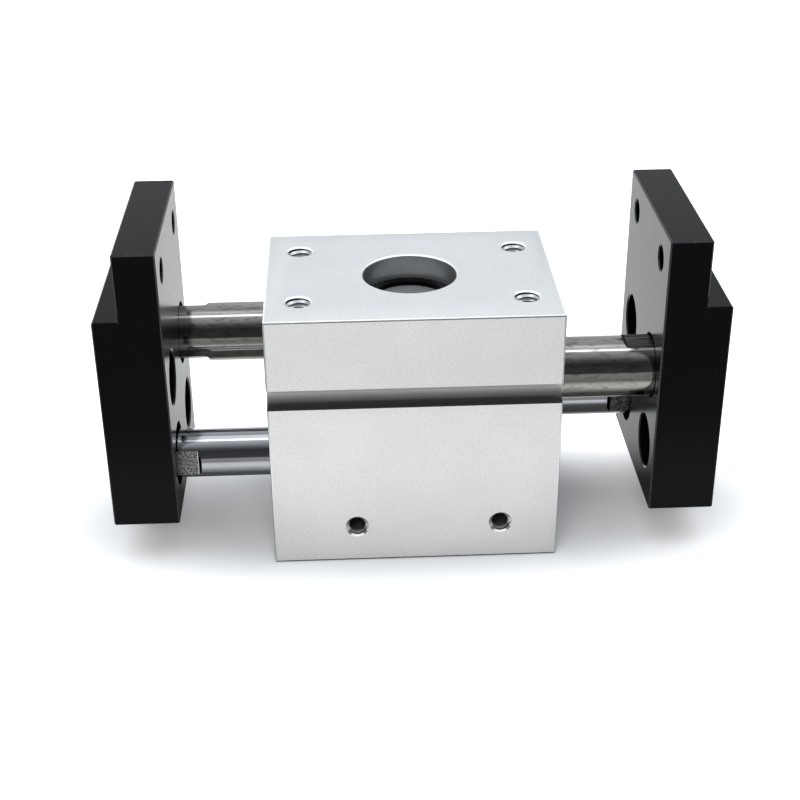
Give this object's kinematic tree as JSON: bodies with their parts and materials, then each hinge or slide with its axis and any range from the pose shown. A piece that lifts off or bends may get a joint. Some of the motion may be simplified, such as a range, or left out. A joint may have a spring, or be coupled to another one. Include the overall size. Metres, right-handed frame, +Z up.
{
  "type": "parallel gripper",
  "caption": "Wide-opening parallel gripper: block housing with two air cylinders, rack-and-pinion synchronised rods and two black stepped finger plates.",
  "frame": {"origin": "centre of the housing's underside", "axes": "+X along the opening direction towards the right finger, +Y towards the back, +Z up through the top bore; the air ports face -Y"},
  "size_m": [0.148, 0.052, 0.0826],
  "materials": {
    "anodised_housing": "clear anodised over a fine matt surface",
    "black_anodised_finger": "black anodised, satin",
    "black_spring_steel": "phosphated black",
    "bumper_rubber": "polyurethane",
    "chromed_rod_steel": "hard chrome, polished",
    "cover_steel": "turned",
    "gear_steel": "hobbed and hardened",
    "ground_rod_steel": "ground and hardened",
    "magnet": "pressed",
    "seal_rubber": "nitrile",
    "sintered_bronze": "sintered, oil filled",
    "turned_aluminium": "turned, natural anodised",
    "wear_ring_plastic": "moulded",
    "zinc_plated_steel": "zinc plated"
  },
  "bodies": {
    "housing": {"front_left_bumper": "bumper_rubber", "front_left_rod_bush": "sintered_bronze", "front_left_rod_cover": "turned_aluminium", "front_left_rod_cover_seal": "seal_rubber", "front_left_rod_seal": "seal_rubber", "front_right_bumper": "bumper_rubber", "front_right_rod_bush": "sintered_bronze", "front_right_rod_cover": "turned_aluminium", "front_right_rod_cover_seal": "seal_rubber", "front_right_rod_seal": "seal_rubber", "housing": "anodised_housing", "left_rack_rod_bush": "sintered_bronze", "left_rack_rod_scraper": "seal_rubber", "left_tail_bush": "sintered_bronze", "pinion_cover": "cover_steel", "pinion_cover_ring": "black_spring_steel", "pinion_cover_seal": "seal_rubber", "pinion_pin": "gear_steel", "pinion_washers": "gear_steel", "rear_left_bumper": "bumper_rubber", "rear_left_rod_bush": "sintered_bronze", "rear_left_rod_cover": "turned_aluminium", "rear_left_rod_cover_seal": "seal_rubber", "rear_left_rod_seal": "seal_rubber", "rear_right_bumper": "bumper_rubber", "rear_right_rod_bush": "sintered_bronze", "rear_right_rod_cover": "turned_aluminium", "rear_right_rod_cover_seal": "seal_rubber", "rear_right_rod_seal": "seal_rubber", "right_rack_rod_bush": "sintered_bronze", "right_rack_rod_scraper": "seal_rubber", "right_tail_bush": "sintered_bronze", "rod_cover_rings": "black_spring_steel"},
    "left_finger": {"left_finger": "black_anodised_finger", "left_rack_rod": "ground_rod_steel", "left_piston_rod": "chromed_rod_steel", "left_piston": "turned_aluminium", "left_wear_ring": "wear_ring_plastic", "left_piston_seal": "seal_rubber", "left_piston_circlips": "black_spring_steel", "left_spring_washers": "zinc_plated_steel", "left_lock_nuts": "zinc_plated_steel"},
    "right_finger": {"right_finger": "black_anodised_finger", "right_rack_rod": "ground_rod_steel", "right_piston_rod": "chromed_rod_steel", "right_piston": "turned_aluminium", "right_wear_ring": "wear_ring_plastic", "right_piston_seal": "seal_rubber", "right_piston_circlips": "black_spring_steel", "right_spring_washers": "zinc_plated_steel", "right_lock_nuts": "zinc_plated_steel", "rack_magnet": "magnet"},
    "pinion": {"pinion": "gear_steel", "pinion_bush": "sintered_bronze"}
  },
  "joints": [
    {"name": "left_finger_slide", "type": "slide", "parent": "housing", "child": "left_finger", "axis": [1, 0, 0], "range_m": [0, 0.02]},
    {"name": "right_finger_slide", "type": "slide", "parent": "housing", "child": "right_finger", "axis": [-1, 0, 0], "range_m": [0, 0.02]},
    {"name": "pinion_spin", "type": "hinge", "parent": "housing", "child": "pinion", "pos_m": [0, 0, 0.0456], "axis": [0, 0, 1], "range_deg": [-164, 0]}
  ],
  "couplings": [
    {"joint": "right_finger_slide", "follows": "left_finger_slide", "ratio": 1},
    {"joint": "pinion_spin", "follows": "left_finger_slide", "rad_per_m": -142.86}
  ]
}
